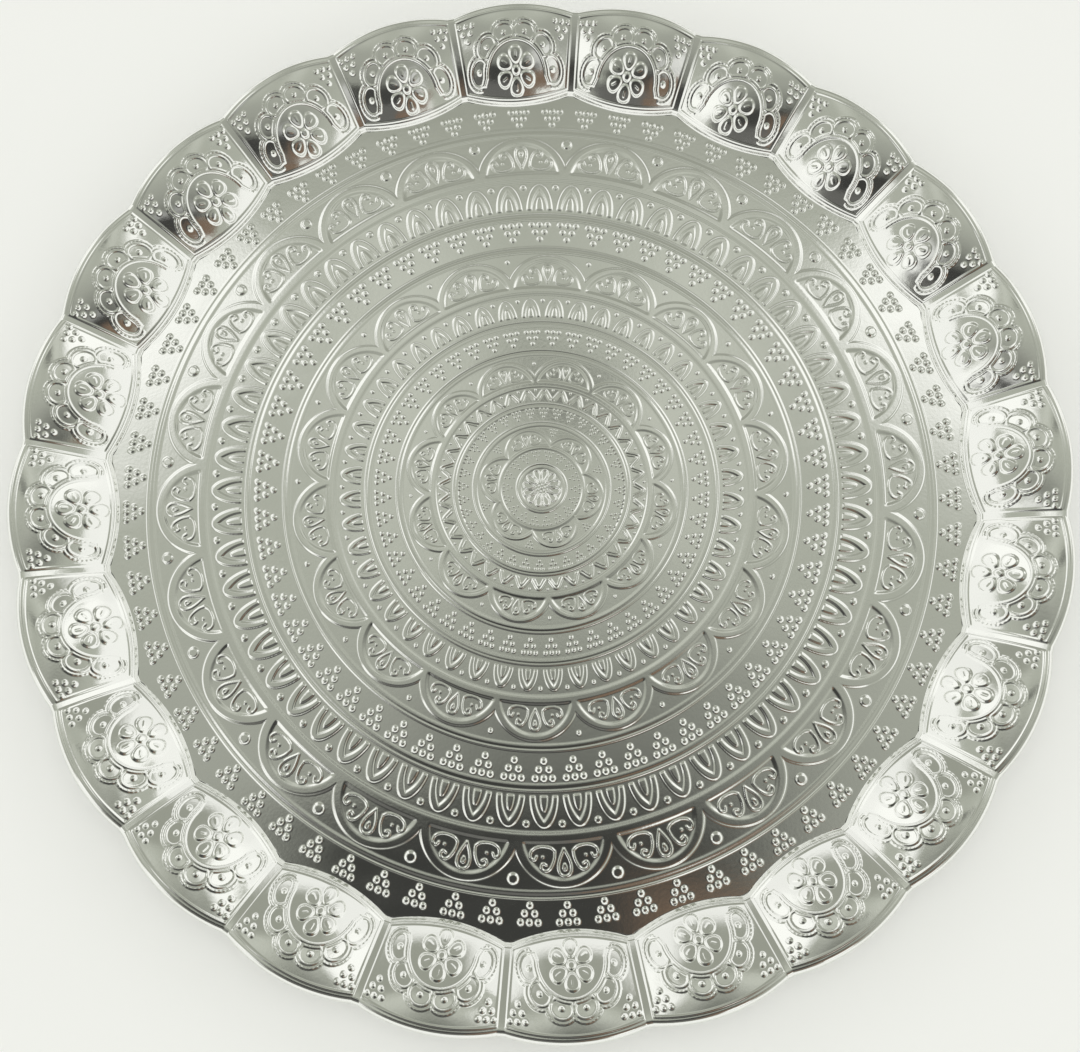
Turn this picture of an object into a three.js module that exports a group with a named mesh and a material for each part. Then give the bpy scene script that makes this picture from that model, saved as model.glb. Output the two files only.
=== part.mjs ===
// A round, shallow serving tray pressed from one sheet of bright metal.
// A flat floor is ringed by 24 pillow-shaped rim panels, which rise outwards to a lobed edge.
// Between each two panels runs a narrow flat divider, and the sheet's edge is curled round a wire.
// Units are millimetres, +Z is up, and the origin is the centre of the floor's underside.
import * as THREE from "three";

// Driving dimensions.
const OVERALL_RADIUS = 175;
const SHEET_THICKNESS = 0.7;
const PANEL_COUNT = 24;

// The floor, and the short step up from it to the rim panels.
const FLOOR_RING_RADII = [48, 96];
const STEP_WIDTH = 1.6;
const STEP_HEIGHT = 1.8;

// Rim panels: where a panel starts and ends at its middle and at the dividers, above the floor.
const PANEL_INNER_RADIUS = 145.2;
const CORNER_INNER_RADIUS = 149.4;
const PANEL_RISE = 15.0;
const DIVIDER_RISE = 13.0;
const PANEL_ROUNDNESS = 0.65;
const DIVIDER_ROUNDNESS = 0.3;
const DIVIDER_WIDTH = 2.2;

// The curled edge: a wire, a running gap round it, and the sheet round that.
const WIRE_RADIUS = 0.75;
const WIRE_GAP = 0.32;
const LOBE_DEPTH = 2.0;
const CURL_START = 120;
const CURL_SWEEP = 300;

// Facets.
const PANEL_STATIONS = [0, 0.1, 0.25, 0.45, 0.7, 1];
const COLUMNS_PER_PANEL = 5;
const CURL_STEPS = 10;
const WIRE_SIDES = 6;

const PANEL_PITCH = (2 * Math.PI) / PANEL_COUNT;
const CURL_MID_RADIUS = WIRE_RADIUS + WIRE_GAP + SHEET_THICKNESS / 2;
const CURL_OUTER_RADIUS = CURL_MID_RADIUS + SHEET_THICKNESS / 2;
const FLOOR_MID_HEIGHT = SHEET_THICKNESS / 2;

const mix = (from, to, amount) => from + (to - from) * amount;

// A column's place: its panel's middle angle, and -1 to 1 from one divider's edge to the other's.
function columnPlace(column) {
  const inPanel = column % COLUMNS_PER_PANEL;
  const panel = Math.floor(column / COLUMNS_PER_PANEL);
  const across = (2 * inPanel) / (COLUMNS_PER_PANEL - 1) - 1;
  return { across, middle: panel * PANEL_PITCH };
}

// Measured from the dividers' edges, so that a divider keeps its width all the way out.
function columnAngle({ across, middle }, radius) {
  const dividerHalfAngle = Math.asin(DIVIDER_WIDTH / 2 / radius);
  return middle + across * (PANEL_PITCH / 2 - dividerHalfAngle);
}

// The curl's centre follows the lobed edge in plan, and dips with the sheet at each divider.
function curlCentre(across) {
  const fall = across * across;
  const radius = OVERALL_RADIUS - CURL_OUTER_RADIUS - LOBE_DEPTH * fall;
  const panelTop = STEP_HEIGHT + mix(PANEL_RISE, DIVIDER_RISE, fall);
  const start = THREE.MathUtils.degToRad(CURL_START);
  return {
    radius,
    height: FLOOR_MID_HEIGHT + panelTop - CURL_MID_RADIUS * Math.sin(start),
  };
}

// The middle line of the sheet in the upright plane of one column, from the floor to the curl's end.
function sheetLine(across) {
  const fall = across * across;
  const inner = mix(PANEL_INNER_RADIUS, CORNER_INNER_RADIUS, fall);
  const curl = curlCentre(across);
  const start = THREE.MathUtils.degToRad(CURL_START);
  const outer = curl.radius + CURL_MID_RADIUS * Math.cos(start);
  const line = FLOOR_RING_RADII.map((radius) => [radius, FLOOR_MID_HEIGHT]);
  line.push([inner - STEP_WIDTH, FLOOR_MID_HEIGHT]);
  for (const station of PANEL_STATIONS) {
    const dome = 1 - (1 - station) ** 2;
    const roundness = mix(PANEL_ROUNDNESS, DIVIDER_ROUNDNESS, fall);
    const rise = mix(PANEL_RISE, DIVIDER_RISE, fall) * mix(station, dome, roundness);
    line.push([mix(inner, outer, station), FLOOR_MID_HEIGHT + STEP_HEIGHT + rise]);
  }
  for (let step = 1; step <= CURL_STEPS; step += 1) {
    const turned = start - THREE.MathUtils.degToRad(CURL_SWEEP * (step / CURL_STEPS));
    line.push([
      curl.radius + CURL_MID_RADIUS * Math.cos(turned),
      curl.height + CURL_MID_RADIUS * Math.sin(turned),
    ]);
  }
  return line;
}

// The line moved sideways by a distance, with mitred corners; a positive distance is upwards.
function offsetLine(line, distance) {
  return line.map((point, index) => {
    const before = line[Math.max(index - 1, 0)];
    const after = line[Math.min(index + 1, line.length - 1)];
    const arriving = new THREE.Vector2(point[0] - before[0], point[1] - before[1]).normalize();
    const leaving = new THREE.Vector2(after[0] - point[0], after[1] - point[1]).normalize();
    if (index === 0) arriving.copy(leaving);
    if (index === line.length - 1) leaving.copy(arriving);
    const along = arriving.clone().add(leaving).normalize();
    const stretch = distance / Math.max(along.dot(leaving), 0.5);
    return [point[0] - along.y * stretch, point[1] + along.x * stretch];
  });
}

// Closes one ring of sections round the Z axis. Each section is a list of [radius, height] points.
// With caps, a section is open, and its two ends are closed by fans to points on the axis.
function solidRoundAxis(sectionAt, columnCount, caps) {
  const positions = [];
  const indices = [];
  let size = 0;
  for (let column = 0; column < columnCount; column += 1) {
    const place = columnPlace(column);
    const section = sectionAt(place.across);
    size = section.length;
    for (const [radius, height] of section) {
      const angle = columnAngle(place, radius);
      positions.push(radius * Math.cos(angle), radius * Math.sin(angle), height);
    }
  }
  const lastPoint = caps ? size - 1 : size;
  for (let column = 0; column < columnCount; column += 1) {
    const here = column * size;
    const next = ((column + 1) % columnCount) * size;
    for (let point = 0; point < lastPoint; point += 1) {
      const following = (point + 1) % size;
      indices.push(here + point, here + following, next + following);
      indices.push(here + point, next + following, next + point);
    }
    if (caps) {
      const top = columnCount * size;
      indices.push(top, here, next);
      indices.push(top + 1, next + size - 1, here + size - 1);
    }
  }
  if (caps) positions.push(0, 0, caps.top, 0, 0, caps.bottom);
  const geometry = new THREE.BufferGeometry();
  geometry.setAttribute("position", new THREE.Float32BufferAttribute(positions, 3));
  geometry.setIndex(indices);
  geometry.computeVertexNormals();
  return geometry;
}

// The sheet: its upper face from the middle out and round the curl, then its under face back in.
function makePressedTray() {
  const half = SHEET_THICKNESS / 2;
  const section = (across) => {
    const line = sheetLine(across);
    return [...offsetLine(line, half), ...offsetLine(line, -half).reverse()];
  };
  const caps = { top: SHEET_THICKNESS, bottom: 0 };
  return solidRoundAxis(section, PANEL_COUNT * COLUMNS_PER_PANEL, caps);
}

// The wire follows the middle of the curl all the way round.
function makeRimWire() {
  const section = (across) => {
    const centre = curlCentre(across);
    return Array.from({ length: WIRE_SIDES }, (_, side) => {
      const turned = (-2 * Math.PI * side) / WIRE_SIDES;
      return [
        centre.radius + WIRE_RADIUS * Math.cos(turned),
        centre.height + WIRE_RADIUS * Math.sin(turned),
      ];
    });
  };
  return solidRoundAxis(section, PANEL_COUNT * COLUMNS_PER_PANEL, null);
}

function metal(colour, roughness) {
  return new THREE.MeshStandardMaterial({ color: colour, roughness, metalness: 1 });
}

function namedMesh(name, geometry, material) {
  const mesh = new THREE.Mesh(geometry, material);
  mesh.name = name;
  return mesh;
}

const group = new THREE.Group();
group.add(namedMesh("pressed_tray", makePressedTray(), metal(0xd3d6cf, 0.16)));
group.add(namedMesh("rim_wire", makeRimWire(), metal(0x9a9c98, 0.45)));

export default group;
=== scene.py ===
"""A round pressed-metal tray: one embossed sheet and the wire in its rolled edge, in a soft studio.

Shape code works in the tray's own millimetres, and UNIT turns them into metres.
A place on the tray is a radius and an angle, and +X runs through the middle of a rim panel.
"""
import math

import bpy
import numpy as np
from mathutils import Matrix, Vector


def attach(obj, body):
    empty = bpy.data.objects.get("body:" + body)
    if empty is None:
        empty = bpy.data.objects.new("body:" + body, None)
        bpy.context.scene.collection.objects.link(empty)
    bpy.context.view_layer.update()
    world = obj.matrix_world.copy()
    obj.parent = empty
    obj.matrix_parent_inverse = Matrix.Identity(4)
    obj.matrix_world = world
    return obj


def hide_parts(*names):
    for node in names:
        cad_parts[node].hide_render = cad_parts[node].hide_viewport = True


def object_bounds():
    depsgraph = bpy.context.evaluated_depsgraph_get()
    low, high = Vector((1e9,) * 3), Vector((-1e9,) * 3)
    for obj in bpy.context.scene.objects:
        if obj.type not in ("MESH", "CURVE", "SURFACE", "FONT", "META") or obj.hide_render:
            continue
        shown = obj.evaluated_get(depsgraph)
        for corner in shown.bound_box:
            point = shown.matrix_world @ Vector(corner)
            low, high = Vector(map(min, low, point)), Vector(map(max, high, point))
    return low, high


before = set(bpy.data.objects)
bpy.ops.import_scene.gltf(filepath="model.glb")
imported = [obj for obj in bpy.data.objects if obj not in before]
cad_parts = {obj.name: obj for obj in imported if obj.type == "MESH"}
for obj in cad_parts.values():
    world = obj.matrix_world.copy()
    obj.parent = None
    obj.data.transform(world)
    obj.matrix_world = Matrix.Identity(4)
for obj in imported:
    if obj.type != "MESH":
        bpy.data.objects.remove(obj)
cad_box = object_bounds()

# ---------------------------------------------------------------- driving dimensions, in millimetres
OVERALL_RADIUS = 175.0
UNIT = cad_box[1].x / OVERALL_RADIUS
SHEET = 0.7
PANELS = 24
PITCH = 2 * math.pi / PANELS

# The rim, as in the CAD model.
STEP_WIDTH, STEP_HEIGHT = 1.6, 1.8
PANEL_INNER, CORNER_INNER = 145.2, 149.4
PANEL_RISE, DIVIDER_RISE = 15.0, 13.0
PANEL_ROUNDNESS, DIVIDER_ROUNDNESS = 0.65, 0.3
DIVIDER_WIDTH = 2.2
WIRE_RADIUS, WIRE_GAP = 0.75, 0.32
LOBE_DEPTH = 2.0
CURL_START, CURL_SWEEP = math.radians(120), math.radians(300)
CURL_MID = WIRE_RADIUS + WIRE_GAP + SHEET / 2
CURL_OUTER = CURL_MID + SHEET / 2
FLOOR_MID = SHEET / 2

# The slight waves of the whole sheet: how steep they are, and their lengths.
WAVE_SLOPE = 0.0004
WAVE_LENGTHS = (150, 110, 85, 60, 45, 34)

# The mesh: for each zone of the floor its columns, its outer radius and the spacing of its rows.
ZONES = (
    (180, 4.5, 0.16),
    (720, 14.0, 0.14),
    (1440, 30.9, 0.17),
    (2160, 60.9, 0.2),
    (2880, 134.9, 0.25),
)
SECTORS = 6
PANEL_COLUMNS, DIVIDER_COLUMNS = 132, 6
RIM_COLUMNS = PANELS * (PANEL_COLUMNS + DIVIDER_COLUMNS)
MORPH_ROWS, STEP_ROWS, PANEL_ROWS, CURL_ROWS = 36, 10, 118, 24
WIRE_SIDES = 16
CURVE_STEPS, DROP_POINTS = 4, 26

# Where the sheet's two faces lie in the UV square, as discs.
TOP_UV, TOP_UV_RADIUS, LIP_UV = (0.365, 0.635), 0.358, 0.362
UNDER_UV, UNDER_UV_RADIUS = (0.785, 0.215), 0.21


# ---------------------------------------------------------------- profiles of the relief
def mix(start, end, amount):
    return start + (end - start) * amount


def smooth(amount):
    amount = np.clip(amount, 0, 1)
    return amount * amount * (3 - 2 * amount)


def ridge(distance, width, height):
    """A rounded raised line, width across in all, where distance is from its middle."""
    return height * np.clip(1 - (2 * distance / width) ** 2, 0, None) ** 1.5


def plate(inside, bevel, height):
    """A raised flat area, inside being the distance within its edge and bevel its slope's width."""
    return height * smooth(0.5 + inside / bevel)


def dome(x, y, size, height):
    """A round boss of diameter size at the local origin, flat on top with steep sides."""
    bevel = min(0.8, 0.38 * size)
    return plate((size - bevel) / 2 - np.hypot(x, y), bevel, height)


def folded(radius, angle, count, turn=0.0):
    """Across and outward coordinates within the nearest of count equal sectors, turned by turn."""
    pitch = 2 * math.pi / count
    local = (angle - turn + pitch / 2) % pitch - pitch / 2
    return radius * np.sin(local), radius * np.cos(local)


def path_distance(x, y, path, reach):
    """Distance from each point to a line of points, or reach where that is less."""
    low, high = path.min(0) - reach, path.max(0) + reach
    near = (x > low[0]) & (x < high[0]) & (y > low[1]) & (y < high[1])
    near_x, near_y = x[near], y[near]
    best = np.full(near_x.shape, reach, float)
    for (start_x, start_y), (end_x, end_y) in zip(path[:-1], path[1:]):
        run_x, run_y = end_x - start_x, end_y - start_y
        away_x, away_y = near_x - start_x, near_y - start_y
        along = (away_x * run_x + away_y * run_y) / (run_x * run_x + run_y * run_y + 1e-9)
        along = np.clip(along, 0, 1)
        best = np.minimum(best, np.hypot(away_x - along * run_x, away_y - along * run_y))
    distance = np.full(x.shape, reach, float)
    distance[near] = best
    return distance


def drawn(x, y, path, width, height):
    """A raised line along a path."""
    return ridge(path_distance(x, y, path, width), width, height)


def curve(points):
    """A smooth line through a few points, with CURVE_STEPS pieces from each to the next."""
    points = np.array(points, float)
    before = np.concatenate([points[:1], points[:-1]])
    after = np.concatenate([points[1:], points[-1:]])
    slope = (after - before) / 2
    along = np.arange(CURVE_STEPS)[:, None, None] / CURVE_STEPS
    start = (2 * along ** 3 - 3 * along ** 2 + 1) * points[:-1]
    start = start + (along - 2 * along ** 2 + along ** 3) * slope[:-1]
    end = (3 * along ** 2 - 2 * along ** 3) * points[1:]
    end = end + (along ** 3 - along ** 2) * slope[1:]
    return np.concatenate([(start + end).transpose(1, 0, 2).reshape(-1, 2), points[-1:]])


def drop_path(base, length, width):
    """A closed teardrop, from its point at radius base outwards to its round end."""
    turn = np.linspace(0, 2 * math.pi, DROP_POINTS)
    across = 0.62 * width * np.sin(turn) * np.abs(np.sin(turn / 2)) ** 1.3
    return np.stack([across, base + length * (1 - np.cos(turn)) / 2], 1)


# ---------------------------------------------------------------- motifs of the floor
SHARP_WIDTH, SHARP_HEIGHT = 0.8, 0.2
SOFT_WIDTH = 1.9


def double_ring(radius, inner, outer, inner_height):
    """Two raised lines round the tray, the outer one sharp and the inner one soft."""
    sharp = ridge(radius - outer, SHARP_WIDTH, SHARP_HEIGHT)
    return sharp + ridge(radius - inner, SOFT_WIDTH, inner_height)


def dot_triangle(x, y, rows, pitch, size, height):
    """Six dots in rows of three, two and one."""
    pair = 0.58 * pitch
    spots = [(-pitch, rows[0]), (0, rows[0]), (pitch, rows[0])]
    spots += [(-pair, rows[1]), (pair, rows[1]), (0, rows[2])]
    return sum(dome(x - spot_x, y - spot_y, size, height) for spot_x, spot_y in spots)


# The two lines of a scrolled heart beside a drop that stands on radius 0.
# Each runs from the heart's point round one lobe and curls in.
SCROLLS = (
    ((2.9, 2.8), (4.4, 1.5), (7.6, 1.0), (10.2, 2.0), (10.9, 4.0), (9.7, 5.1), (8.8, 3.9)),
    ((2.9, 2.8), (3.3, 5.4), (4.6, 7.9), (6.2, 8.8), (7.6, 7.7), (7.0, 6.3), (5.9, 6.9)),
)


def lens_filling(x, y, base, scale, tall):
    """A drop with a smaller one in it, between two scrolled hearts, standing on radius base."""
    line = 0.8 * scale ** 0.5
    x = np.abs(x)
    drop = drop_path(base + 2.0 * scale, 8.6 * scale, 4.7 * scale)
    small_drop = drop_path(base + 6.7 * scale, 2.0 * scale, 1.1 * scale)
    relief = np.maximum(drawn(x, y, drop, line, tall), drawn(x, y, small_drop, 0.8 * line, tall))
    for points in SCROLLS:
        relief = np.maximum(relief, drawn(x, y, curve(points) * scale + (0, base), line, tall))
    return np.maximum(relief, dome(x - 6.9 * scale, y - base - 4.3 * scale, 1.3 * scale, 0.7 * tall))


def arch_band(radius, angle, count, turn, sizes, scale, rim, plate_height, tall):
    """A raised scalloped band with a sunken lens in each scallop and scrollwork in each lens."""
    inner, base, cusp, top = sizes
    x, y = folded(radius, angle, count, turn)
    cusp_y = cusp * math.cos(math.pi / count)
    centre = (top ** 2 - cusp ** 2) / (2 * (top - cusp_y))
    arch = (top - centre) - np.hypot(x, y - centre)
    narrowed = (top - centre) - np.hypot(1.04 * x, y - centre)
    foot = smooth(0.5 + (radius - inner) / (1.6 * scale))
    fineness = scale ** 0.4
    relief = plate(arch, 0.8 * fineness, plate_height) * foot
    sunk = smooth(0.5 + (narrowed - rim) / (1.5 * fineness)) * smooth(0.5 + (radius - base) / 1.2)
    filling = np.where(sunk > 0.5, lens_filling(x, y, base, scale, tall), 0)
    return relief - plate_height * sunk + filling


def oval_level(x, y, half_width, length):
    """Distance within an oval about the local origin, negative outside it."""
    unit_x, unit_y = x / half_width, y / length
    level = np.hypot(unit_x, unit_y) + 1e-6
    return (1 - level) * level / (np.hypot(unit_x / half_width, unit_y / length) + 1e-6)


def ogive_level(x, y, half_width, length):
    """Distance within a pointed arch that stands on y = 0."""
    radius = (length ** 2 + half_width ** 2) / (2 * half_width)
    return radius - np.hypot(np.abs(x) + radius - half_width, y)


def petal_band(radius, angle, count, base, tip, dots_at, dot_size):
    """Raised round-ended petals pointing outwards, each with a sunken pointed arch and a rib in it."""
    x, y = folded(radius, angle, count)
    y = y - base
    length = tip - base
    scale = length / 10
    edge, height = 0.68 * scale ** 0.6, 0.31 * scale ** 0.6
    relief = plate(oval_level(x, y, 4.5 * scale, length), edge, height)
    relief -= plate(ogive_level(x, y, 2.9 * scale, 0.8 * length), edge, height)
    relief += plate(oval_level(x, y, 1.15 * scale, 0.5 * length), edge, height) * 0.8
    dot_x, dot_y = folded(radius, angle, count, math.pi / count)
    return relief * smooth(0.5 + y / edge) + dome(dot_x, dot_y - dots_at, dot_size, 0.3)


def zigzag_band(radius, angle, count, base, tip):
    """A wavy line of narrow arches, a smaller arch in each and a dot over each valley."""
    x, y = folded(radius, angle, count)
    half = math.pi * (base + tip) / 2 / count
    turn = np.linspace(-1, 1, 21)
    rise = (0.5 + 0.5 * np.cos(math.pi * turn)) ** 0.8
    relief = drawn(x, y, np.stack([half * turn, mix(base, tip, rise)], 1), 1.0, 0.2)
    within = np.stack([0.6 * half * turn, mix(base - 0.1, tip - 1.1, rise)], 1)
    relief = np.maximum(relief, drawn(x, y, within, 0.7, 0.12))
    dot_x, dot_y = folded(radius, angle, count, math.pi / count)
    return relief + dome(dot_x, dot_y - tip + 0.1, 0.95, 0.2)


def rosette(radius, angle):
    """Twelve petals round a cluster of beads."""
    x, y = folded(radius, angle, 12)
    relief = drawn(x, y, drop_path(2.1, 4.3, 2.3), 0.7, 0.2)
    dot_x, dot_y = folded(radius, angle, 6)
    return relief + dome(dot_x, dot_y - 1.2, 0.8, 0.2) + dome(radius, 0, 0.9, 0.2)


# Each double ring's inner and outer radius, and the height of the inner line.
RINGS = (
    (7.5, 8.5, 0.144),
    (22.5, 23.4, 0.168),
    (29.0, 30.1, 0.192),
    (48.2, 49.6, 0.168),
    (59.0, 60.2, 0.12),
    (86.6, 88.1, 0.096),
    (99.2, 100.9, 0.096),
    (132.4, 134.3, 0.144),
)
# Each band of dot triangles: how many, the radii of their rows, and the dots' spacing, size and height.
TRIANGLES = (
    (6, (20.9, 19.8, 18.8), 1.05, 0.75, 0.12),
    (18, (12.9, 11.5, 10.2), 1.3, 0.75, 0.12),
    (36, (28.0, 26.6, 25.3), 1.3, 1.0, 0.16),
    (48, (56.3, 54.1, 52.0), 2.05, 1.75, 0.28),
    (60, (96.9, 94.1, 91.4), 2.85, 2.5, 0.38),
    (72, (141.5, 138.8, 136.3), 2.8, 2.5, 0.4),
)
# Each band of scallops: how many, the angle of the first, the radii of the band's foot, the lenses' base,
# the cusps and the tops, the scale of its scrollwork, its rim's width, its height and its lines' height.
SCALLOPS = (
    (6, math.pi / 6, (13.8, 14.7, 16.5, 21.3), 0.46, 0.6, 0.15, 0.09),
    (12, 0, (36.0, 38.1, 40.2, 46.7), 0.57, 1.5, 0.2, 0.14),
    (18, math.pi / 18, (70.5, 73.0, 76.7, 85.0), 0.81, 2.0, 0.24, 0.21),
    (24, 0, (114.0, 117.0, 119.6, 131.0), 1.0, 2.6, 0.27, 0.26),
)
# Each band of petals: how many, the radii of their base and tip, and the place and size of its dots.
PETALS = ((48, 61.9, 68.7, 68.0, 1.6), (60, 102.5, 112.4, 111.3, 2.6))
ZIGZAGS, ZIGZAG_BASE, ZIGZAG_TIP = 36, 31.5, 35.1
# Each ring of single dots: how many, the angle of the first, their radius and their size.
SINGLE_DOTS = ((12, math.pi / 12, 44.6, 1.2), (18, 0, 83.2, 1.9), (24, PITCH / 2, 128.4, 4.0))


def floor_relief(radius, angle):
    """Height of the pressed pattern above the flat floor."""
    relief = rosette(radius, angle)
    relief += zigzag_band(radius, angle, ZIGZAGS, ZIGZAG_BASE, ZIGZAG_TIP)
    for ring in RINGS:
        relief += double_ring(radius, *ring)
    for scallops in SCALLOPS:
        relief += arch_band(radius, angle, *scallops)
    for petals in PETALS:
        relief += petal_band(radius, angle, *petals)
    for count, *triangle in TRIANGLES:
        x, y = folded(radius, angle, count)
        relief += dot_triangle(x, y, *triangle)
    for count, turn, reach, size in SINGLE_DOTS:
        x, y = folded(radius, angle, count, turn)
        relief += dome(x, y - reach, size, 0.25 * size ** 0.4)
    return relief


# ---------------------------------------------------------------- motif of a rim panel
# Places outwards are radii on the tray, and the flower's are measured from its own middle.
FLOWER_AT = 153.4
BOSS_SIZE, BOSS_HEIGHT = 3.2, 0.42
PETAL_AT, PETAL_HALF_WIDTH, PETAL_HALF_LENGTH = 4.5, 2.25, 2.45
PETAL_BEVEL, PETAL_HEIGHT = 0.75, 0.4
SEED_AT, SEED_HALF_LENGTH, SEED_WIDTH, SEED_HEIGHT = 4.7, 0.7, 0.75, 0.12
# A petal's width, as a part of its oval's, at its inner end and at its outer end.
PETAL_NARROW, PETAL_WIDE, PETAL_NARROW_AT = 0.66, 1.08, 1.9
ARCH_MIDDLE, ARCH_RADIUS, ARCH_SPLAY, ARCH_FOOT = 151.9, 10.5, 0.45, 149.6
ARCH_LINE_WIDTH, ARCH_LINE_HEIGHT = 1.0, 0.32
# Each lobe's direction from the arch's middle, in degrees, and its half width.
LOBES = ((16.4, 3.5), (49.2, 3.5), (82.6, 3.8))
LOBE_REACH, LOBE_HALF_DEPTH, LOBE_GAP = 13.2, 2.9, 0.9
LOBE_LINE_WIDTH, LOBE_LINE_HEIGHT = 0.85, 0.27
BEAD_SIZE, BEAD_HEIGHT = 2.0, 0.3
ROPE_GAP, ROPE_TWISTS, ROPE_WIDTH, ROPE_HEIGHT = 1.15, 22, 0.85, 0.24
# The dots in the panel's corners: the angle of their middle, the radii of their rows,
# and their spacing, size and height.
CORNER_ANGLE = math.radians(5.85)
CORNER_DOTS = ((168.4, 166.1, 163.8), 2.35, 2.05, 0.34)
FRAME_INSET, FRAME_WIDTH, FRAME_HEIGHT = 0.5, 0.9, 0.16


def flower(x, y):
    """Six raised petals, each with a narrow seed, round a boss."""
    relief = dome(x, y - FLOWER_AT, BOSS_SIZE, BOSS_HEIGHT)
    for degrees in (0, 60, 120, 180):
        turn = math.radians(degrees)
        across = x * math.cos(turn) - (y - FLOWER_AT) * math.sin(turn)
        out = x * math.sin(turn) + (y - FLOWER_AT) * math.cos(turn)
        narrowing = mix(PETAL_NARROW, PETAL_WIDE, np.clip((out - PETAL_NARROW_AT) / 4.5, 0, 1))
        level = oval_level(across / narrowing, out - PETAL_AT, PETAL_HALF_WIDTH, PETAL_HALF_LENGTH)
        from_seed = np.hypot(across, np.clip(np.abs(out - SEED_AT) - SEED_HALF_LENGTH, 0, None))
        petal = plate(level, PETAL_BEVEL, PETAL_HEIGHT) + ridge(from_seed, SEED_WIDTH, SEED_HEIGHT)
        relief = np.maximum(relief, petal)
    return relief


def lobe_lines(x, y, outside):
    """Outlined lobes with a bead in each, round the arch, and a rope-like line round them all."""
    outermost = np.full(x.shape, -LOBE_REACH)
    relief = np.zeros(x.shape)
    beads = np.ones(x.shape)
    for degrees, half_width in LOBES:
        turn = math.radians(degrees)
        across = x * math.cos(turn) - (y - ARCH_MIDDLE) * math.sin(turn)
        out = x * math.sin(turn) + (y - ARCH_MIDDLE) * math.cos(turn) - LOBE_REACH
        level = oval_level(across, out, half_width, LOBE_HALF_DEPTH)
        outline = ridge(np.minimum(level, outside - LOBE_GAP), LOBE_LINE_WIDTH, LOBE_LINE_HEIGHT)
        relief = np.maximum(relief, np.maximum(outline, dome(across, out, BEAD_SIZE, BEAD_HEIGHT)))
        twist = 0.82 + 0.18 * np.cos(ROPE_TWISTS * np.arctan2(out, across))
        beads = np.where(level > outermost, twist, beads)
        outermost = np.maximum(outermost, level)
    rope = ridge(outermost + ROPE_GAP, ROPE_WIDTH, ROPE_HEIGHT) * beads
    return np.maximum(relief, rope * (outside > 0.5))


def panel_relief(radius, angle, inner, outer):
    """Height of the pattern on the rim panels."""
    x, y = folded(radius, angle, PANELS)
    local = np.abs(np.arctan2(x, y))
    x = np.abs(x)
    below = np.clip(ARCH_MIDDLE - y, 0, None)
    outside = np.hypot(x - ARCH_SPLAY * below, y + below - ARCH_MIDDLE) - ARCH_RADIUS
    relief = np.maximum(flower(x, y), lobe_lines(x, y, outside))
    relief = np.maximum(relief, ridge(outside, ARCH_LINE_WIDTH, ARCH_LINE_HEIGHT) * (y > ARCH_FOOT))
    dots_x, dots_y = radius * np.sin(local - CORNER_ANGLE), radius * np.cos(local - CORNER_ANGLE)
    relief = np.maximum(relief, dot_triangle(dots_x, dots_y, *CORNER_DOTS))
    side = radius * (PITCH / 2 - strip_angle(radius) - local)
    inside = np.minimum(np.minimum(side, outer - radius), radius - inner)
    return np.maximum(relief, ridge(inside - FRAME_INSET, FRAME_WIDTH, FRAME_HEIGHT))


# ---------------------------------------------------------------- the sheet's middle surface
def strip_angle(radius):
    """Half the angle that a divider's flat strip takes up."""
    return np.arcsin(DIVIDER_WIDTH / 2 / np.maximum(radius, CORNER_INNER))


def rim_column(column):
    """How far across its panel a column is, its panel's angle, and how far across the next divider."""
    per_panel = PANEL_COLUMNS + DIVIDER_COLUMNS
    half = PANEL_COLUMNS / 2
    place = (column + half) % per_panel
    across = np.clip((place - half) / half, -1, 1)
    over_divider = np.clip((place - PANEL_COLUMNS) / DIVIDER_COLUMNS, 0, 1)
    return across, (column + half) // per_panel * PITCH, over_divider


def rim_angle(radius, column):
    """The angle of a rim column at a radius, so that the dividers keep their width."""
    across, middle, over_divider = rim_column(column)
    strip = strip_angle(radius)
    return middle + across * (PITCH / 2 - strip) + over_divider * 2 * strip


def rim_line(across):
    """Radii of the panel's inner and outer ends, and the middle of the curl, for columns of the rim."""
    fall = across ** 2
    inner = mix(PANEL_INNER, CORNER_INNER, fall)
    top = FLOOR_MID + STEP_HEIGHT + mix(PANEL_RISE, DIVIDER_RISE, fall)
    curl_radius = OVERALL_RADIUS - CURL_OUTER - LOBE_DEPTH * fall
    curl_height = top - CURL_MID * math.sin(CURL_START)
    outer = curl_radius + CURL_MID * math.cos(CURL_START)
    return inner, outer, curl_radius, curl_height


def stations(rows):
    """Fractions of the way along a stretch, one per row, without its start."""
    return (np.arange(rows)[:, None] + 1) / rows


def floor_zone(columns, start, end, spacing):
    """Radius, angle and height of one zone of the flat floor."""
    radius = start + (end - start) * stations(round((end - start) / spacing))
    angle = 2 * math.pi * np.arange(columns)[None, :] / columns
    radius, angle = np.broadcast_arrays(radius, angle)
    return radius, angle, np.full(radius.shape, FLOOR_MID)


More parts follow.
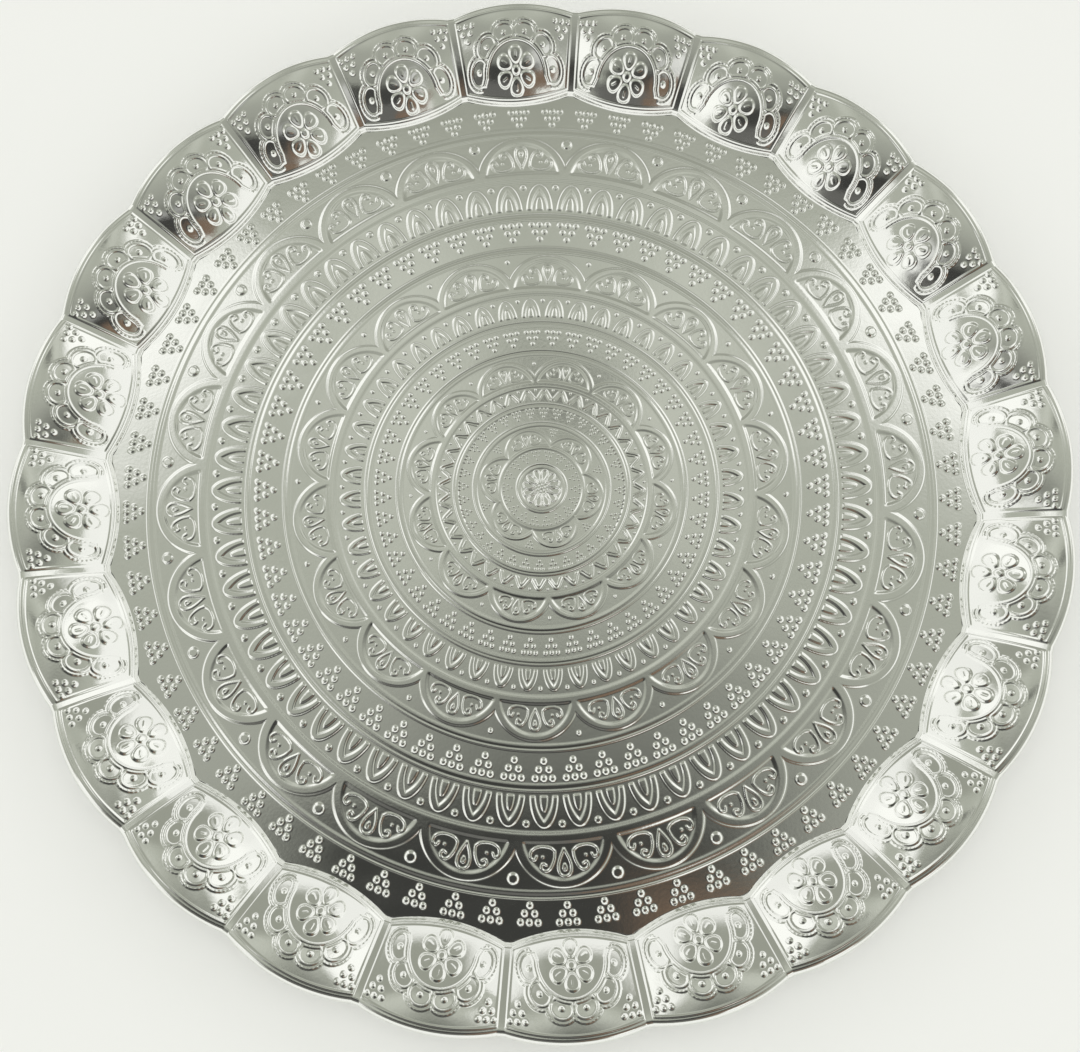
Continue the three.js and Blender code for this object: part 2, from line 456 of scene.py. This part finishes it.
def rim_zone(start):
    """Radius, angle and height from the floor's last circle over the step, the panels and the curl."""
    column = np.arange(RIM_COLUMNS)[None, :]
    even_angle = 2 * math.pi * column / RIM_COLUMNS
    across = rim_column(column)[0]
    fall = across ** 2
    inner, outer, curl_radius, curl_height = rim_line(across)
    foot = inner - STEP_WIDTH

    along = stations(MORPH_ROWS)
    flat_radius = mix(start, foot, along)
    flat_angle = mix(even_angle, rim_angle(flat_radius, column), smooth(along))
    flat_height = np.full(flat_radius.shape, FLOOR_MID)

    along = stations(STEP_ROWS)
    step_radius = mix(foot, inner, along)
    step_height = FLOOR_MID + STEP_HEIGHT * np.broadcast_to(smooth(along), step_radius.shape)

    along = stations(PANEL_ROWS)
    rise = mix(PANEL_RISE, DIVIDER_RISE, fall)
    roundness = mix(PANEL_ROUNDNESS, DIVIDER_ROUNDNESS, fall)
    panel_radius = mix(inner, outer, along)
    panel_height = FLOOR_MID + STEP_HEIGHT + rise * mix(along, 1 - (1 - along) ** 2, roundness)

    turn = CURL_START - CURL_SWEEP * stations(CURL_ROWS)
    bead_radius = curl_radius + CURL_MID * np.cos(turn)
    bead_height = curl_height + CURL_MID * np.sin(turn)

    radius = np.concatenate([flat_radius, step_radius, panel_radius, bead_radius])
    height = np.concatenate([flat_height, step_height, panel_height, bead_height])
    on_rim = rim_angle(radius[MORPH_ROWS:], column)
    angle = np.concatenate([flat_angle, on_rim])
    return radius, angle, height


def surface_points(radius, angle, height):
    return np.stack([radius * np.cos(angle), radius * np.sin(angle), height], -1)


def surface_normals(points):
    """Unit normals of a grid of points that closes on itself round the tray."""
    outward = np.gradient(points, axis=0)
    around = np.roll(points, -1, 1) - np.roll(points, 1, 1)
    normal = np.cross(outward, around)
    return normal / np.linalg.norm(normal, axis=-1, keepdims=True)


def sector_relief(relief, radius, angle, *more):
    """Works a relief out on one sixth of the tray and repeats it round the tray."""
    part = radius.shape[1] // SECTORS
    piece = relief(radius[:, :part], angle[:, :part], *(value[:, :part] for value in more))
    return np.tile(piece, (1, SECTORS))


def waviness(points):
    """The slight unevenness that pressing leaves in a thin sheet."""
    random = np.random.default_rng(24)
    wave = np.zeros(points.shape[:-1])
    for length in WAVE_LENGTHS:
        heading, phase = random.uniform(0, 2 * math.pi, 2)
        along = points[..., 0] * math.cos(heading) + points[..., 1] * math.sin(heading)
        wave += WAVE_SLOPE * length * np.sin(2 * math.pi * along / length + phase)
    return wave + WAVE_SLOPE * sum(WAVE_LENGTHS)


def sheet_zones():
    """Each zone's middle surface, its normals and the height of the relief on it."""
    zones = []
    start = 0.0
    for columns, end, spacing in ZONES:
        radius, angle, height = floor_zone(columns, start, end, spacing)
        relief = sector_relief(floor_relief, radius, angle)
        normals = np.broadcast_to((0.0, 0.0, 1.0), radius.shape + (3,))
        zones.append((surface_points(radius, angle, height), normals, relief))
        start = end
    radius, angle, height = rim_zone(start)
    points = surface_points(radius, angle, height)
    inner, outer = rim_line(rim_column(np.arange(RIM_COLUMNS)[None, :])[0])[:2]
    relief = np.zeros(radius.shape)
    flat = slice(0, MORPH_ROWS)
    panel = slice(MORPH_ROWS + STEP_ROWS, MORPH_ROWS + STEP_ROWS + PANEL_ROWS)
    relief[flat] = sector_relief(floor_relief, radius[flat], angle[flat])
    relief[panel] = sector_relief(panel_relief, radius[panel], angle[panel], inner, outer)
    zones.append((points, surface_normals(points), relief))
    return zones


# ---------------------------------------------------------------- meshes
class MeshParts:
    """Points, UVs and faces of a mesh, gathered ring by ring."""

    def __init__(self):
        self.points, self.uvs, self.relief = [], [], []
        self.quads, self.triangles, self.triangle_uvs = [], [], []
        self.count = 0

    def add_grid(self, points, uvs, relief, flip):
        """Adds rows of rings and the quads between them, and returns the numbers of its points."""
        rows, columns = points.shape[:2]
        numbers = self.count + np.arange(rows * columns).reshape(rows, columns)
        self.points.append(points.reshape(-1, 3))
        self.uvs.append(uvs.reshape(-1, 2))
        self.relief.append(relief.reshape(-1))
        self.count += rows * columns
        after = np.roll(numbers, -1, 1)
        faces = np.stack([numbers[:-1], numbers[1:], after[1:], after[:-1]], -1).reshape(-1, 4)
        self.quads.append(faces[:, ::-1] if flip else faces)
        return numbers

    def add_triangles(self, faces, flip, uvs):
        faces = faces[:, ::-1] if flip else faces
        self.triangles.append(faces)
        self.triangle_uvs.append(uvs[faces])

    def add_zipper(self, first, second, flip, second_uvs=None):
        """Triangles between two rings whose first points line up, whatever their numbers of points."""
        faces = []
        here, there = 0, 0
        while here < len(first) or there < len(second):
            step_first = (here + 1) * len(second) <= (there + 1) * len(first)
            start = (first[here % len(first)], second[there % len(second)])
            if step_first:
                here += 1
                faces.append((start[0], start[1], first[here % len(first)]))
            else:
                there += 1
                faces.append((start[0], start[1], second[there % len(second)]))
        uvs = np.concatenate(self.uvs)
        if second_uvs is not None:
            uvs[second] = second_uvs
        self.add_triangles(np.array(faces), flip, uvs)


def skin(parts, zones, uv_centre, uv_radius, flip):
    """Adds one face of the sheet, from its middle to the end of the curl, and returns its last ring."""
    reach = [0.0]
    last = zones[0][0][0, 0] * (0, 1, 1)
    for points, _ in zones:
        step = np.linalg.norm(np.diff(points, axis=0), axis=-1).mean(1)
        gap = float(np.linalg.norm(points[0, 0] - last))
        reach.extend(reach[-1] + gap + np.concatenate([[0], np.cumsum(step)]))
        last = points[-1, 0]
    scale = uv_radius / reach[-1]
    row = 1
    previous = None
    for points, relief in zones:
        rows, columns = points.shape[:2]
        angle = 2 * math.pi * np.arange(columns) / columns
        out = np.array(reach[row:row + rows])[:, None] * scale
        row += rows
        uvs = np.stack([uv_centre[0] + out * np.cos(angle), uv_centre[1] + out * np.sin(angle)], -1)
        numbers = parts.add_grid(points, uvs, relief, flip)
        if previous is None:
            middle = points[:1, :1] * (0, 0, 1)
            hub = parts.add_grid(middle, np.array([[uv_centre]]), relief[:1, :1], flip)
            hub_faces = [np.full(columns, hub[0, 0]), numbers[0], np.roll(numbers[0], -1)]
            parts.add_triangles(np.stack(hub_faces, -1), flip, np.concatenate(parts.uvs))
        else:
            parts.add_zipper(previous, numbers[0], flip)
        previous = numbers[-1]
    return previous


def softened(relief):
    """Relief as it shows on the back of the sheet, where the metal's thickness rounds it."""
    padded = np.pad(relief, ((1, 1), (0, 0)), "edge")
    mean = (padded[:-2] + 2 * padded[1:-1] + padded[2:]) / 4
    return (np.roll(mean, 1, 1) + 2 * mean + np.roll(mean, -1, 1)) / 4


def build_mesh(name, parts):
    """Makes the mesh, shaded smooth, with a UV layer for baking and the relief as an attribute."""
    points = np.concatenate(parts.points) * UNIT
    quads = np.concatenate(parts.quads)
    triangles = np.concatenate(parts.triangles)
    corners = np.concatenate([quads.ravel(), triangles.ravel()])
    triangle_starts = 4 * len(quads) + 3 * np.arange(len(triangles))
    starts = np.concatenate([4 * np.arange(len(quads)), triangle_starts])
    mesh = bpy.data.meshes.new(name)
    mesh.vertices.add(len(points))
    mesh.vertices.foreach_set("co", points.astype(np.float32).ravel())
    mesh.loops.add(len(corners))
    mesh.loops.foreach_set("vertex_index", corners.astype(np.int32))
    mesh.polygons.add(len(starts))
    mesh.polygons.foreach_set("loop_start", starts.astype(np.int32))
    mesh.update(calc_edges=True)
    mesh.shade_smooth()
    uvs = np.concatenate(parts.uvs)
    layer = mesh.uv_layers.new(name="OFBake")
    triangle_uvs = np.concatenate(parts.triangle_uvs).reshape(-1, 2)
    corner_uvs = np.concatenate([uvs[quads].reshape(-1, 2), triangle_uvs])
    layer.data.foreach_set("uv", corner_uvs.astype(np.float32).ravel())
    attribute = mesh.attributes.new("relief", "FLOAT", "POINT")
    attribute.data.foreach_set("value", np.concatenate(parts.relief).astype(np.float32))
    shape = bpy.data.objects.new(name, mesh)
    bpy.context.collection.objects.link(shape)
    return shape


def make_sheet():
    """The embossed sheet: its show face, its back, and the edge that joins them inside the curl."""
    zones = sheet_zones()
    top, under = [], []
    for points, normals, relief in zones:
        wave = waviness(points)[..., None] * (0, 0, 1)
        top.append((points + normals * (SHEET / 2 + relief[..., None]) + wave, relief))
        back = softened(softened(relief))[::2, ::2]
        inward = points[::2, ::2] + normals[::2, ::2] * (back[..., None] - SHEET / 2) + wave[::2, ::2]
        under.append((inward, back))
    parts = MeshParts()
    top_ring = skin(parts, top, TOP_UV, TOP_UV_RADIUS, False)
    under_ring = skin(parts, under, UNDER_UV, UNDER_UV_RADIUS, True)
    turn = 2 * math.pi * np.arange(len(under_ring)) / len(under_ring)
    lip_uvs = np.stack([TOP_UV[0] + LIP_UV * np.cos(turn), TOP_UV[1] + LIP_UV * np.sin(turn)], -1)
    parts.add_zipper(top_ring, under_ring, False, lip_uvs)
    return build_mesh("embossed_sheet", parts)


def make_wire():
    """The round wire that the edge is rolled over, which follows the lobes."""
    column = np.arange(0, RIM_COLUMNS, 2)
    across = rim_column(column)[0]
    middle, height = rim_line(across)[2:]
    angle = rim_angle(middle, column)
    turn = 2 * math.pi * np.arange(WIRE_SIDES)[:, None] / WIRE_SIDES
    radius = middle + WIRE_RADIUS * np.cos(turn)
    height = height + WIRE_RADIUS * np.sin(turn)
    points = surface_points(radius, np.broadcast_to(angle, radius.shape), height)
    points = points + waviness(points)[..., None] * (0, 0, 1)
    numbers = np.arange(points.shape[0] * points.shape[1]).reshape(points.shape[:2])
    after = np.roll(numbers, -1, 1)
    quads = np.stack([numbers, after, np.roll(after, -1, 0), np.roll(numbers, -1, 0)], -1)
    mesh = bpy.data.meshes.new("round_wire")
    mesh.from_pydata((points.reshape(-1, 3) * UNIT).tolist(), [], quads.reshape(-1, 4).tolist())
    mesh.shade_smooth()
    wire = bpy.data.objects.new("round_wire", mesh)
    bpy.context.collection.objects.link(wire)
    return wire


# ---------------------------------------------------------------- materials
def new_material(name):
    material = bpy.data.materials.new(name)
    material.use_nodes = True
    nodes, links = material.node_tree.nodes, material.node_tree.links
    return material, nodes, links, nodes["Principled BSDF"]


def noise(nodes, links, scale, detail=3.0, stretch=(1, 1, 1)):
    """A noise over the object's own metres, scale being its grains per metre."""
    place = nodes.new("ShaderNodeTexCoord")
    mapping = nodes.new("ShaderNodeMapping")
    mapping.inputs["Scale"].default_value = stretch
    texture = nodes.new("ShaderNodeTexNoise")
    texture.inputs["Scale"].default_value = scale
    texture.inputs["Detail"].default_value = detail
    links.new(place.outputs["Object"], mapping.inputs["Vector"])
    links.new(mapping.outputs["Vector"], texture.inputs["Vector"])
    return texture.outputs["Fac"]


def ramp(nodes, links, source, low, high):
    """Spreads a noise between low and high."""
    spread = nodes.new("ShaderNodeMapRange")
    spread.inputs["From Min"].default_value = 0.3
    spread.inputs["From Max"].default_value = 0.7
    spread.inputs["To Min"].default_value = low
    spread.inputs["To Max"].default_value = high
    links.new(source, spread.inputs["Value"])
    return spread.outputs["Result"]


def blend_colours(nodes, links, amount, first, second):
    blend = nodes.new("ShaderNodeMix")
    blend.data_type = "RGBA"
    blend.inputs["A"].default_value = (*first, 1)
    blend.inputs["B"].default_value = (*second, 1)
    links.new(amount, blend.inputs["Factor"])
    return blend.outputs["Result"]


def bright_sheet_material():
    """Polished bright metal: a faint warm cast, soft smears of haze, and a rolled sheet's fine grain."""
    material, nodes, links, shader = new_material("bright_pressed_metal")
    shader.inputs["Metallic"].default_value = 1.0
    haze = noise(nodes, links, 38.0, 4.0)
    colour = blend_colours(nodes, links, haze, (0.80, 0.815, 0.775), (0.86, 0.865, 0.835))
    links.new(colour, shader.inputs["Base Color"])
    smear = noise(nodes, links, 60.0, 5.0, (1.0, 2.2, 1.0))
    links.new(ramp(nodes, links, smear, 0.07, 0.13), shader.inputs["Roughness"])
    grain = nodes.new("ShaderNodeBump")
    grain.inputs["Strength"].default_value = 0.06
    grain.inputs["Distance"].default_value = 0.0002
    links.new(noise(nodes, links, 900.0, 4.0), grain.inputs["Height"])
    links.new(grain.outputs["Normal"], shader.inputs["Normal"])
    return material


def wire_material():
    """Drawn steel wire, duller than the sheet, with fine marks along it."""
    material, nodes, links, shader = new_material("drawn_steel_wire")
    shader.inputs["Metallic"].default_value = 1.0
    tone = noise(nodes, links, 120.0)
    colour = blend_colours(nodes, links, tone, (0.46, 0.46, 0.45), (0.58, 0.58, 0.56))
    links.new(colour, shader.inputs["Base Color"])
    marks = noise(nodes, links, 1500.0, 3.0)
    links.new(ramp(nodes, links, marks, 0.28, 0.42), shader.inputs["Roughness"])
    scratches = nodes.new("ShaderNodeBump")
    scratches.inputs["Strength"].default_value = 0.15
    scratches.inputs["Distance"].default_value = 0.0001
    links.new(marks, scratches.inputs["Height"])
    links.new(scratches.outputs["Normal"], shader.inputs["Normal"])
    return material


def table_material():
    """A plain pale matt surface with the least unevenness of tone."""
    material, nodes, links, shader = new_material("pale_table")
    shader.inputs["Specular IOR Level"].default_value = 0.1
    tone = noise(nodes, links, 6.0)
    colour = blend_colours(nodes, links, tone, (0.90, 0.90, 0.89), (0.93, 0.93, 0.92))
    links.new(colour, shader.inputs["Base Color"])
    links.new(ramp(nodes, links, tone, 0.7, 0.8), shader.inputs["Roughness"])
    return material


# ---------------------------------------------------------------- studio and camera
# The studio is laid out with +Y up the picture, in the tray's millimetres, and then turned about Z
# so that the rim's panels lie as they should in the picture.
VIEW_TURN = math.radians(-18.41)
EYE = (0.755, -93.3, 388.8)
AIM = (-0.55, -13.2, 0.7)
LENS, SENSOR_WIDTH, CLIP_START = 38.98, 36.0, 0.01

# The table's size and how far it lies below the tray, in metres.
TABLE_SIZE, TABLE_GAP = 4.0, 0.0002
LAMP_PLACE, LAMP_SIZE, LAMP_RADIANCE = (0, 0, 2200), (2500, 2500), 0.9
ROOM_HALF = 2200
CEILING = (0.47, 0.485, 0.425)
WALL_COLOUR = (1.0, 1.0, 0.975)
# Each wall's name, place, height and how brightly it is lit.
WALLS = (
    ("left_wall", (-ROOM_HALF, 0), 2050, 1.05),
    ("right_wall", (ROOM_HALF, 0), 2050, 1.05),
    ("far_wall", (0, ROOM_HALF), 2100, 1.0),
    ("near_wall", (0, -ROOM_HALF), 2100, 1.05),
)

WINDOW = (1.15, 1.15, 1.12)
CEILING_GLOW = (0.62, 0.635, 0.57)
FAR_SHADE, NEAR_SHADE = (0.36, 0.37, 0.32), (0.39, 0.40, 0.355)
DARK, DIM, BROWN = (0.05, 0.05, 0.047), (0.14, 0.138, 0.13), (0.207, 0.143, 0.101)
# Cards that show only in reflections: each one's name, place, size, colour, softness of its edges,
# strength, and whether it hangs level. The paired ones hang on both sides of the room.
PAIRED_CARDS = (
    ("far_window", (1330, 1250, 1900), (850, 2100), WINDOW, 0.2, 1.0, False),
    ("ceiling_glow", (300, 850, 1995), (560, 1900), CEILING_GLOW, 0.5, 1.0, True),
)
# The dark, dim and brown cards hang close above the lens, and the polished floor shows them softly.
SINGLE_CARDS = (
    ("left_window", (-1081, -624, 1598), (702, 1209), WINDOW, 0.2, 1.0, False),
    ("right_window", (632, -1011, 1640), (585, 1170), WINDOW, 0.2, 1.0, False),
    ("far_shade", (0, 1439, 1240), (1770, 1478), FAR_SHADE, 0.2, 1.0, False),
    ("near_shade", (0, -600, 1996), (3400, 2000), NEAR_SHADE, 0.3, 1.0, True),
    ("dark_middle", (30, -120, 433), (480, 400), DARK, 0.5, 0.72, True),
    ("dim_near", (-90, -340, 432), (570, 340), DIM, 0.2, 1.0, True),
    ("dark_across", (-20, -185, 431), (440, 185), DARK, 0.27, 1.0, True),
    ("brown_right", (160, -240, 430), (250, 190), BROWN, 0.25, 1.0, True),
    ("brown_near", (95, -370, 429), (150, 130), BROWN, 0.25, 1.0, True),
    ("ceiling_fitting", (48, 700, 1980), (330, 280), DARK, 0.4, 0.65, True),
)


def turned(place):
    """A place in the studio's layout as a place in Blender's metres."""
    return Matrix.Rotation(VIEW_TURN, 4, "Z") @ Vector(place) * UNIT


def facing(place, target, up):
    """A transform at place whose -Z points at target."""
    back = (place - target).normalized()
    right = up.cross(back).normalized()
    return Matrix.Translation(place) @ Matrix((right, back.cross(right), back)).transposed().to_4x4()


def make_camera():
    camera = bpy.data.objects.new("camera", bpy.data.cameras.new("camera"))
    camera.data.lens = LENS
    camera.data.sensor_width = SENSOR_WIDTH
    camera.data.clip_start = CLIP_START
    camera.data.dof.use_dof = False
    bpy.context.collection.objects.link(camera)
    camera.matrix_world = facing(turned(EYE), turned(AIM), turned((0, 1, 0)))
    bpy.context.scene.camera = camera


def make_table():
    bpy.ops.mesh.primitive_plane_add(size=TABLE_SIZE, location=(0, 0, -TABLE_GAP))
    table = bpy.context.object
    table.name = "table"
    table.data.materials.append(table_material())


def make_lamp():
    """A soft lamp over the tray, which doesn't show in reflections."""
    lamp = bpy.data.objects.new("overhead", bpy.data.lights.new("overhead", "AREA"))
    lamp.data.shape = "RECTANGLE"
    lamp.data.size, lamp.data.size_y = LAMP_SIZE[0] * UNIT, LAMP_SIZE[1] * UNIT
    lamp.data.energy = LAMP_RADIANCE * math.pi * lamp.data.size * lamp.data.size_y
    bpy.context.collection.objects.link(lamp)
    lamp.matrix_world = facing(turned(LAMP_PLACE), Vector(), turned((0, 1, 0)))
    lamp.visible_camera = False
    lamp.visible_glossy = False


def edge_mask(nodes, links, softness, strength):
    """Strength over a card's middle, falling to 0 at its edges over a part softness of its size."""
    place = nodes.new("ShaderNodeTexCoord")
    axes = nodes.new("ShaderNodeSeparateXYZ")
    links.new(place.outputs["Generated"], axes.inputs["Vector"])
    product = None
    for axis in ("X", "Y"):
        for start, end in ((0.0, softness), (1.0, 1.0 - softness)):
            fade = nodes.new("ShaderNodeMapRange")
            fade.interpolation_type = "SMOOTHSTEP"
            fade.inputs["From Min"].default_value = start
            fade.inputs["From Max"].default_value = end
            links.new(axes.outputs[axis], fade.inputs["Value"])
            both = nodes.new("ShaderNodeMath")
            both.operation = "MULTIPLY"
            both.inputs[1].default_value = strength
            links.new(fade.outputs["Result"], both.inputs[0])
            if product:
                links.new(product, both.inputs[1])
            product = both.outputs["Value"]
    return product


def make_card(name, place, size, colour, softness, strength, level):
    """A soft-edged flat shape that shows only in reflections, either level or aimed at the tray."""
    bpy.ops.mesh.primitive_plane_add(size=1.0)
    card = bpy.context.object
    card.name = name
    target = (place[0], place[1], 0) if level else (0, 0, 0)
    up = turned((0, 1, 0)) if level else Vector((0, 0, 1))
    scale = Matrix.Diagonal((size[0] * UNIT, size[1] * UNIT, 1, 1))
    card.matrix_world = facing(turned(place), turned(target), up) @ scale
    material = bpy.data.materials.new(name)
    material.use_nodes = True
    nodes, links = material.node_tree.nodes, material.node_tree.links
    nodes.remove(nodes["Principled BSDF"])
    glow = nodes.new("ShaderNodeEmission")
    glow.inputs["Color"].default_value = (*colour, 1)
    see_through = nodes.new("ShaderNodeBsdfTransparent")
    both = nodes.new("ShaderNodeMixShader")
    links.new(edge_mask(nodes, links, softness, strength), both.inputs["Fac"])
    links.new(see_through.outputs["BSDF"], both.inputs[1])
    links.new(glow.outputs["Emission"], both.inputs[2])
    links.new(both.outputs["Shader"], nodes["Material Output"].inputs["Surface"])
    card.data.materials.append(material)
    for kind in ("visible_camera", "visible_diffuse", "visible_shadow", "visible_transmission"):
        setattr(card, kind, False)


def make_wall(name, place, height, radiance):
    """A pale lit wall from the table up."""
    bpy.ops.mesh.primitive_plane_add(size=1.0)
    wall = bpy.context.object
    wall.name = name
    centre = turned((*place, height / 2))
    scale = Matrix.Diagonal((2 * ROOM_HALF * UNIT, height * UNIT, 1, 1))
    wall.matrix_world = facing(centre, turned((0, 0, height / 2)), Vector((0, 0, 1))) @ scale
    material, _, _, shader = new_material(name)
    shader.inputs["Base Color"].default_value = (0, 0, 0, 1)
    shader.inputs["Specular IOR Level"].default_value = 0.0
    shader.inputs["Emission Color"].default_value = (*WALL_COLOUR, 1)
    shader.inputs["Emission Strength"].default_value = radiance
    wall.data.materials.append(material)


def make_studio():
    """A pale room whose ceiling is dimmer than its walls, with windows, shades and dark cards."""
    world = bpy.data.worlds.new("room")
    bpy.context.scene.world = world
    world.use_nodes = True
    background = world.node_tree.nodes["Background"]
    background.inputs["Color"].default_value = (*CEILING, 1)
    make_lamp()
    for wall in WALLS:
        make_wall(*wall)
    for side in (-1, 1):
        for name, (across, away, height), *look in PAIRED_CARDS:
            make_card(name, (side * across, away, height), *look)
    for card in SINGLE_CARDS:
        make_card(*card)
    bpy.context.scene.view_settings.view_transform = "Standard"


make_camera()
make_table()
make_studio()

sheet = make_sheet()
sheet.data.materials.append(bright_sheet_material())
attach(sheet, "root")
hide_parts("pressed_tray")

wire = make_wire()
wire.data.materials.append(wire_material())
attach(wire, "root")
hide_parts("rim_wire")
